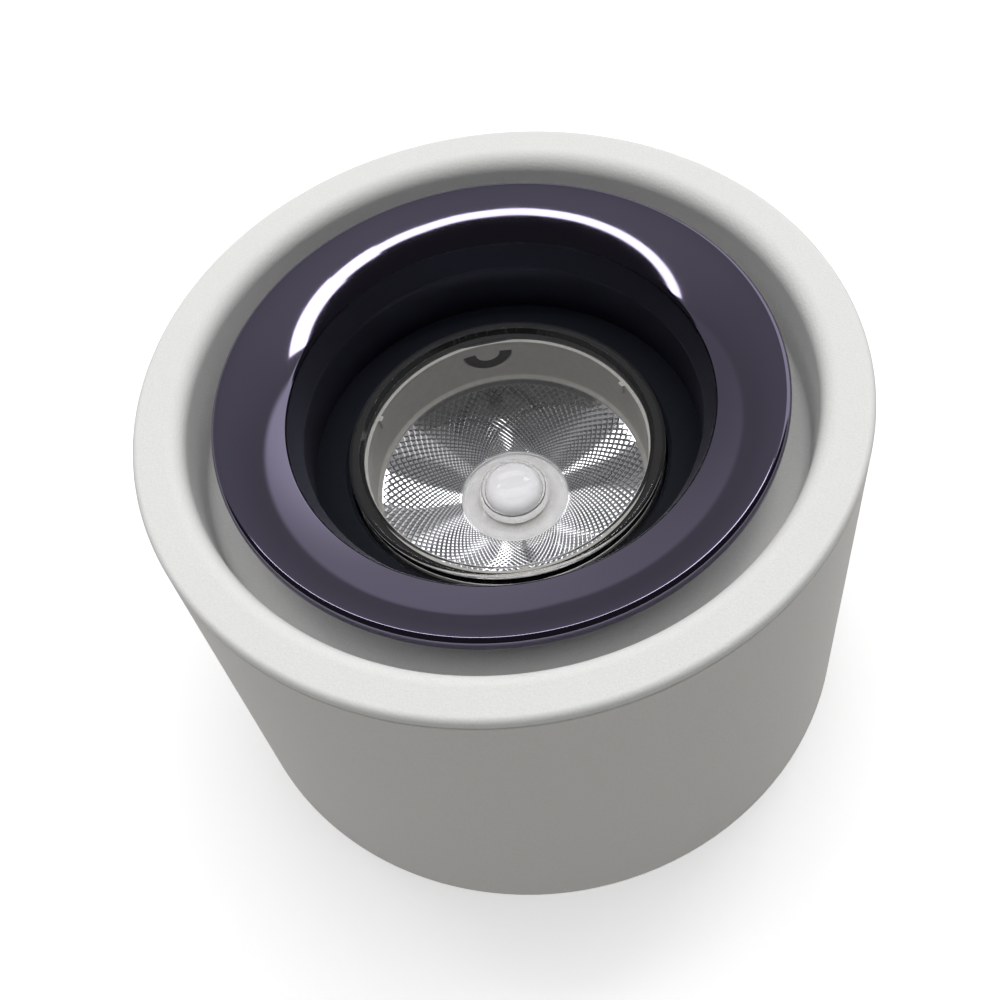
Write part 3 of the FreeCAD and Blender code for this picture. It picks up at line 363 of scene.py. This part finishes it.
# ---------------------------------------------------------------- housing
def bezel_outline():
    """Rim with a rolled inner edge, a tapered well with a hole in its floor, and the spigot."""
    edge = 0.8 * MM                     # rounding of the rim's outer edge
    roll = 2.4 * MM                     # rounding of its inner edge
    well_r = 41.3 * MM
    well_foot_r = 40.9 * MM
    well_floor = 48.6 * MM
    fillet = 1.2 * MM
    hole_r = 31.2 * MM
    lip = 0.4 * MM                      # rounding of the hole's edge
    under = foot("front_bezel")
    back_r = well_foot_r + 1.6 * MM
    shelf = 54 * MM                     # underside between the well and the spigot
    spigot_r = BODY_R - 2.55 * MM
    seam_r = BODY_R - 0.25 * MM         # the small chamfer that makes the parting line
    seam_top = SEAM_Z + 0.15 * MM
    return joined(
        straight(BODY_R - edge, RIM_Z, well_r + roll, RIM_Z),
        bend(well_r + roll, RIM_Z - roll, roll, 90, 180, 16),
        straight(well_r, RIM_Z - roll, well_foot_r, well_floor + fillet),
        bend(well_foot_r - fillet, well_floor + fillet, fillet, 0, -90),
        straight(well_foot_r - fillet, well_floor, hole_r + lip, well_floor),
        bend(hole_r + lip, well_floor - lip, lip, 90, 180),
        straight(hole_r, well_floor - lip, hole_r, under),
        straight(hole_r, under, back_r, under),
        straight(back_r, under, back_r, shelf),
        straight(back_r, shelf, spigot_r, shelf),
        straight(spigot_r, shelf, spigot_r, SEAM_Z),
        straight(spigot_r, SEAM_Z, seam_r, SEAM_Z),
        straight(seam_r, SEAM_Z, BODY_R, seam_top),
        straight(BODY_R, seam_top, BODY_R, RIM_Z - edge),
        bend(BODY_R - edge, RIM_Z - edge, edge, 0, 90))


# ---------------------------------------------------------------- lamp head
def slope_arc(start, z, radius, first, last, count=32):
    """Arc of a curve that falls towards the axis, from one slope in degrees to a steeper one."""
    first_angle = math.radians(first)
    centre_r = start + radius * math.sin(first_angle)
    centre_z = z - radius * math.cos(first_angle)
    return bend(centre_r, centre_z, radius, 90 + first, 90 + last, count)


def trim_outline():
    """Bell mouth with a rounded outer bead, a steep throat and a sleeve that enters the cup."""
    sheet = 1.2 * MM
    bead = 0.9 * MM                     # rounding of the outer edge
    turned = 0.9 * MM                   # height of the edge below it
    corner = 0.3 * MM
    flange_radius = 16.5 * MM
    bell_radius = 30.3 * MM
    roll_radius = 1.0 * MM
    rim_slope = 6                       # slopes in degrees, ever steeper towards the axis
    flange_slope = 17
    bell_slope = 27
    throat_slope = 66
    lip_slope = 170
    throat_drop = 3.3 * MM
    lip_radius = 0.25 * MM
    lip_height = 0.9 * MM
    sleeve_in = 26.9 * MM
    sleeve_out = sleeve_in + sheet
    inner_r = TRIM_R - sheet

    bead_r = TRIM_R - bead
    bead_z = TRIM_TOP - bead
    edge_z = bead_z - turned
    tilt = math.radians(rim_slope)
    flange = slope_arc(bead_r - bead * math.sin(tilt), bead_z + bead * math.cos(tilt),
                       flange_radius, rim_slope, flange_slope)
    bell = slope_arc(*flange[-1], bell_radius, flange_slope, bell_slope)
    roll = slope_arc(*bell[-1], roll_radius, bell_slope, throat_slope, 16)
    foot_r = roll[-1][0] - throat_drop / math.tan(math.radians(throat_slope))
    foot_z = roll[-1][1] - throat_drop
    lip = slope_arc(foot_r, foot_z, lip_radius, throat_slope, lip_slope, 12)

    start_r, start_z = flange[0]
    under_flange = slope_arc(start_r + sheet * math.sin(tilt), start_z - sheet * math.cos(tilt),
                             flange_radius - sheet, rim_slope, flange_slope)
    under_bell = slope_arc(*under_flange[-1], bell_radius - sheet, flange_slope, bell_slope)
    under = [p for p in reversed(under_flange + under_bell) if p[0] < inner_r - SUPPORT]
    return joined(
        straight(TRIM_R, edge_z + corner, TRIM_R, bead_z),
        bend(bead_r, bead_z, bead, 0, 90 + rim_slope, 16),
        flange,
        bell,
        roll,
        straight(*roll[-1], foot_r, foot_z),
        lip,
        straight(*lip[-1], sleeve_in, foot_z - lip_height),
        straight(sleeve_in, foot_z - lip_height, sleeve_in, THROAT_Z),
        straight(sleeve_in, THROAT_Z, sleeve_out, THROAT_Z),
        straight(sleeve_out, THROAT_Z, sleeve_out, foot_z),
        straight(sleeve_out, foot_z, *under_bell[-1]),
        under,
        straight(inner_r, under[-1][1], inner_r, edge_z),
        straight(inner_r, edge_z, TRIM_R - corner, edge_z),
        bend(TRIM_R - corner, edge_z + corner, corner, -90, 0))


def lens_outline():
    """Flat clear disc with a raised rim, and a skirt under the rim."""
    rim_r = LENS_R - 1.8 * MM           # inside of the raised rim, and of the skirt
    slope = 0.3 * MM                    # half the width of the rim's sloping inside
    soft = 0.7 * MM
    face = LENS_TOP - 0.6 * MM
    back = LENS_TOP - 2.8 * MM
    seat = foot("front_lens")
    return joined(
        [(0.0, back), (0.0, face)],
        straight(0.0, face, rim_r - slope, face)[1:],
        straight(rim_r - slope, face, rim_r + slope, LENS_TOP),
        straight(rim_r + slope, LENS_TOP, LENS_R - soft, LENS_TOP),
        bend(LENS_R - soft, LENS_TOP - soft, soft, 90, 0),
        straight(LENS_R, LENS_TOP - soft, LENS_R, seat),
        straight(LENS_R, seat, rim_r, seat),
        straight(rim_r, seat, rim_r, back),
        straight(rim_r, back, 0.0, back)[:-1])


def faceted_reflector(columns=96, rows=27, dimple=0.062 * MM):
    """Diamond facets on crossing spirals, each one slightly dished, over a plain back."""
    mouth = 18.9 * MM
    neck = DOME_R + 0.3 * MM
    wall = 0.48 * MM
    low = MIRROR_FOOT + wall
    bowl = 0.15                         # how far the cone is bent to a bowl
    floor_share = 0.5                   # size of a dish's flat floor within its facet
    shallow = 0.4                       # depth of a dish at the neck, as a share of one at the mouth
    bm = bmesh.new()

    def place(column, row, sink=0.0):
        """Point of the reflecting side; rows are spaced in proportion to their radius."""
        share = row / rows
        r = neck * (mouth / neck) ** share
        rise = (r - neck) / (mouth - neck)
        z = low + (MIRROR_TOP - low) * (rise * (1 - bowl) + rise * rise * bowl)
        a = TURN * column / columns
        return Vector((r * math.cos(a), r * math.sin(a), z - sink))

    grid = {}
    for row in range(rows + 1):
        for column in range(columns):
            grid[row, column] = bm.verts.new(place(column + 0.5 * (row % 2), row))

    def corner(row, doubled):
        """Vertex of a row at the column doubled / 2."""
        return grid[row, ((doubled - row % 2) // 2) % columns]

    for row in range(1, rows):
        depth = dimple * (shallow + (1 - shallow) * row / rows)
        sink = Vector((0.0, 0.0, depth))
        for column in range(columns):
            doubled = 2 * column + (row + 1) % 2
            centre = place(doubled / 2, row)
            facet = [corner(row - 1, doubled), corner(row, doubled + 1), corner(row + 1, doubled),
                     corner(row, doubled - 1)]
            dish = [bm.verts.new(v.co.lerp(centre, floor_share) - sink) for v in facet]
            bm.faces.new(dish)
            for i in range(4):
                j = (i + 1) % 4
                bm.faces.new((facet[i], facet[j], dish[j], dish[i]))

    # half facets along the neck and the mouth
    for row, beside in ((0, 1), (rows, rows - 1)):
        for column in range(columns):
            doubled = 2 * column + row % 2
            bm.faces.new([corner(row, doubled), corner(beside, doubled + 1), corner(row, doubled + 2)])

    # the back, and the two edges that join it to the facets
    back = {}
    for row in (rows, 0):
        for column in range(columns):
            back[row, column] = bm.verts.new(place(column + 0.5 * (row % 2), row, sink=wall))
    for row in (rows, 0):
        for column in range(columns):
            after = (column + 1) % columns
            bm.faces.new((grid[row, column], grid[row, after], back[row, after], back[row, column]))
    for column in range(columns):
        after = (column + 1) % columns
        bm.faces.new((back[rows, column], back[rows, after], back[0, after], back[0, column]))
    bmesh.ops.recalc_face_normals(bm, faces=bm.faces)
    return finished("faceted_reflector", bm, smooth=False)


stand_for(lathe("turned_bezel", bezel_outline()), "front_bezel", "housing",
          FACE)
stand_for(lathe("turned_trim_ring", trim_outline()), "trim_ring", "lamp_head", CHROME)
stand_for(lathe("turned_lens", lens_outline()), "front_lens", "lamp_head", CLEAR)
stand_for(faceted_reflector(), "reflector", "lamp_head", MIRROR)


# ---------------------------------------------------------------- finishes of the CAD nodes
def repaint(material, *nodes):
    """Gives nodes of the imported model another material."""
    for node in nodes:
        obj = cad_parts[node]
        for slot in obj.material_slots:
            slot.material = material


repaint(SIDE_SHADED_WHITE, "barrel")
repaint(BLACK, "lamp_cup", "lens_retainer", "yoke", "pivot_screws")
repaint(moulded_holder("white_holder"), "lens_holder")
repaint(PLASTIC, "led_frame")
repaint(DOME, "led_dome")
repaint(FROST, "led_capsule")
repaint(satin("phosphor", (0.85, 0.68, 0.16), roughness=(0.5, 0.6)), "led_emitter")
repaint(satin("ceramic", (0.88, 0.88, 0.86), roughness=(0.4, 0.5)), "led_board")
repaint(satin("thermal_pad", (0.42, 0.42, 0.45), roughness=(0.7, 0.8)), "thermal_pad")
repaint(satin("raw_aluminium", (0.74, 0.75, 0.77), roughness=(0.3, 0.45), metallic=1.0), "heat_sink")
repaint(satin("zinc_steel", (0.60, 0.61, 0.62), roughness=(0.25, 0.5), grain=120.0, metallic=1.0),
        "ceiling_plate", "chassis_plate", "bayonet_ring")
repaint(satin("zinc_screw", (0.66, 0.66, 0.65), roughness=(0.25, 0.35), metallic=1.0),
        "chassis_screws", "bayonet_screws", "driver_screws", "terminal_screws", "terminal_fixings",
        "earth_screw", "led_frame_screws", "heat_sink_screws")
repaint(satin("brass", (0.78, 0.60, 0.28), roughness=(0.25, 0.4), metallic=1.0),
        "terminal_clamps", "earth_tag", "pan_bush")
repaint(satin("natural_nylon", (0.82, 0.81, 0.75), roughness=(0.4, 0.5)),
        "terminal_block", "pan_washer", "pivot_washers", "input_socket", "output_socket")
repaint(satin("black_rubber", (0.025, 0.025, 0.026), roughness=(0.6, 0.8)),
        "cable_grommet", "lens_seal")
repaint(satin("driver_plastic", (0.80, 0.80, 0.78), roughness=(0.4, 0.55)),
        "driver_case", "driver_lid")
repaint(satin("circuit_board", (0.03, 0.20, 0.08), roughness=(0.3, 0.4)), "driver_board")
repaint(satin("ferrite", (0.06, 0.06, 0.065), roughness=(0.5, 0.7)), "transformer_core")
repaint(satin("winding_tape", (0.78, 0.60, 0.10), roughness=(0.2, 0.3)), "transformer_coil")
repaint(satin("capacitor_sleeve", (0.04, 0.06, 0.15), roughness=(0.2, 0.3)), "capacitors")
repaint(satin("chip_resin", (0.03, 0.03, 0.03), roughness=(0.5, 0.6)), "driver_chips")


# ---------------------------------------------------------------- studio
FRONT = 0.035               # strength of the room in front
BACK_LOW = 0.19             # tent behind and above, from low to overhead
BACK_HIGH = 0.30
SCREEN_LEFT = 0.06          # low screen behind, added to the tent
SCREEN_MIDDLE = 0.30
SCREEN_RIGHT = 0.80
GROUND = 0.52               # light from below the horizon
FLOOR_HALF = 6.0
FLOOR_SHADE = 0.94
FLOOR_GLOW = 0.30           # keeps the floor nearly white; its light doesn't fall on matte surfaces


def floor():
    """Plain pale floor at the lamp's foot."""
    bm = bmesh.new()
    signs = ((-1, -1), (1, -1), (1, 1), (-1, 1))
    corners = [bm.verts.new((x * FLOOR_HALF, y * FLOOR_HALF, 0.0)) for x, y in signs]
    bm.faces.new(corners)
    obj = finished("studio_floor", bm)
    m = Nodes("studio_floor")
    low, high = shades((FLOOR_SHADE, FLOOR_SHADE, FLOOR_SHADE), 0.01)
    m.set(Base_Color=m.ramp(m.noise(6.0), low, high), Roughness=0.9, Specular_IOR_Level=0.1,
          Emission_Color=(1.0, 1.0, 1.0, 1.0), Emission_Strength=FLOOR_GLOW)
    obj.data.materials.append(m.material)
    obj.visible_diffuse = False


def panel(name, centre, size, aim, power, in_ring=False, in_lens=False):
    """Area lamp; it can be mirrored in the plated ring, and seen in the lamp through its lens."""
    light = bpy.data.lights.new(name, "AREA")
    light.shape = "RECTANGLE"
    light.size, light.size_y = size
    light.energy = power
    obj = bpy.data.objects.new(name, light)
    obj.location = centre
    obj.rotation_euler = (Vector(aim) - Vector(centre)).to_track_quat("-Z", "Y").to_euler()
    obj.visible_glossy = in_ring
    obj.visible_transmission = in_lens
    bpy.context.scene.collection.objects.link(obj)
    return obj


def bent_strip(legs=12):
    """Strip lamp bent in a wide V with a soft corner, and wider at its right end."""
    height = 0.72
    left = -0.45
    right = 0.41
    corner_x = 0.03
    corner_y = 0.11
    softness = 0.10                     # how much the corner is rounded
    spread = 0.54                       # how fast the legs run back
    narrow = 0.050
    wide = 0.092
    widening_starts = 0.06
    widening_run = 0.18
    overlap = 0.1                       # of a leg with the next, in widths
    radiance = 5.5

    def path(x):
        run = math.hypot(x - corner_x, softness) - softness
        return Vector((x, corner_y + spread * run, height))

    for i in range(legs):
        start = path(left + (right - left) * i / legs)
        end = path(left + (right - left) * (i + 1) / legs)
        middle = (start + end) / 2
        share = min(max((middle.x - widening_starts) / widening_run, 0.0), 1.0)
        width = narrow + (wide - narrow) * share * share * (3 - 2 * share)
        length = (end - start).length + overlap * width
        light = panel(f"strip_{i + 1}", middle, (length, width), (middle.x, middle.y, 0.0),
                      radiance * math.pi * length * width, in_ring=True)
        light.rotation_euler = (0.0, 0.0, math.atan2(end.y - start.y, end.x - start.x))


def tent():
    """World light: a dark room in front, a dim tent behind and above, and a bright low screen.

    Directions are unit vectors, with x to the right, y to the back and z up.
    """
    world = bpy.data.worlds.new("tent")
    world.use_nodes = True
    tree = world.node_tree
    background = tree.nodes["Background"]
    direction = tree.nodes.new("ShaderNodeTexCoord").outputs["Generated"]

    def along(x, y, z):
        """How far the direction points along (x, y, z)."""
        node = tree.nodes.new("ShaderNodeVectorMath")
        node.operation = "DOT_PRODUCT"
        tree.links.new(direction, node.inputs[0])
        node.inputs[1].default_value = (x, y, z)
        return node.outputs["Value"]

    def soft(value, start, end, low=0.0, high=1.0):
        """A soft step from low, where the value is start, to high, where it is end."""
        node = tree.nodes.new("ShaderNodeMapRange")
        node.interpolation_type = "SMOOTHSTEP"
        tree.links.new(value, node.inputs["Value"])
        node.inputs["From Min"].default_value = start
        node.inputs["From Max"].default_value = end
        node.inputs["To Min"].default_value = low
        node.inputs["To Max"].default_value = high
        return node.outputs["Result"]

    def combine(kind, *values):
        """One Math node; each value is a socket or a plain number."""
        node = tree.nodes.new("ShaderNodeMath")
        node.operation = kind
        for socket, value in zip(node.inputs, values):
            if isinstance(value, bpy.types.NodeSocket):
                tree.links.new(value, socket)
            else:
                socket.default_value = value
        return node.outputs["Value"]

    # the tent starts along a wide V behind the object, with its corner at the middle
    edge = combine("MAXIMUM", along(0.25, 0, 0), along(-0.42, 0, 0))
    behind = soft(combine("SUBTRACT", along(0, 1, -0.08), edge), 0.0, 0.06)
    tall = soft(along(0, 0, 1), 0.6, 0.95, BACK_LOW, BACK_HIGH)

    # the screen's top falls towards its middle, and it brightens in two steps to the right
    width = combine("ABSOLUTE", along(1, 0, 0))
    below = combine("SUBTRACT", along(0, 0, 1), combine("MULTIPLY", width, 0.5))
    low = soft(below, 0.45, 0.40)
    side = combine("ADD", soft(along(1, 0, 0), -0.5, 0.2, SCREEN_LEFT, SCREEN_MIDDLE),
                   soft(along(1, 0, 0), 0.2, 0.55, 0.0, SCREEN_RIGHT - SCREEN_MIDDLE))
    screen = combine("MULTIPLY", low, side)

    lit = combine("MULTIPLY", combine("ADD", tall, screen), behind)
    above = combine("ADD", lit, FRONT)
    ground = soft(along(0, 0, 1), 0.0, -0.02, 0.0, GROUND)
    sky = soft(along(0, 0, 1), -0.02, 0.0, 0.0, 1.0)
    total = combine("ADD", combine("MULTIPLY", above, sky), ground)
    tree.links.new(total, background.inputs["Strength"])
    background.inputs["Color"].default_value = (1.0, 1.0, 1.0, 1.0)
    bpy.context.scene.world = world


def camera():
    """Looks down from the front at a steep angle, with a slight roll."""
    elevation = math.radians(55.56)
    roll = math.radians(10.81)
    lens = 48.89
    place = Vector((-0.0469, -2.3323, 2.8421)) * BODY_R     # from the middle of the rim
    rim = Vector((0.0, 0.0, RIM_Z))
    forward = Vector((0.0, math.cos(elevation), -math.sin(elevation)))
    level_up = Vector((0.0, math.sin(elevation), math.cos(elevation)))
    up = level_up * math.cos(roll) + Vector((1.0, 0.0, 0.0)) * math.sin(roll)
    right = forward.cross(up)
    data = bpy.data.cameras.new("camera")
    data.sensor_width = 36.0
    data.lens = lens
    data.clip_start = 0.01
    data.clip_end = 50.0
    obj = bpy.data.objects.new("camera", data)
    turn = Matrix((right, up, -forward)).transposed().to_4x4()
    obj.matrix_world = Matrix.Translation(rim + place) @ turn
    bpy.context.scene.collection.objects.link(obj)
    bpy.context.scene.camera = obj


floor()
tent()
panel("soft_top", centre=(0.0, -0.05, 0.9), size=(1.3, 0.9), aim=(0.0, -0.05, 0.0), power=6.6)
panel("back_glow", centre=(0.0, 0.62, 0.56), size=(0.60, 0.24), aim=(0.0, 0.0, 0.05), power=1.0,
      in_lens=True)
bent_strip()
panel("sparkle_left", centre=(-0.345, 0.385, 0.72), size=(0.10, 0.08), aim=(0.0, 0.0, 0.035), power=0.13,
      in_lens=True)
panel("sparkle_right", centre=(0.37, 0.45, 0.72), size=(0.12, 0.12), aim=(0.0, 0.0, 0.035), power=0.24,
      in_lens=True)
camera()
bpy.context.scene.view_settings.view_transform = "Standard"
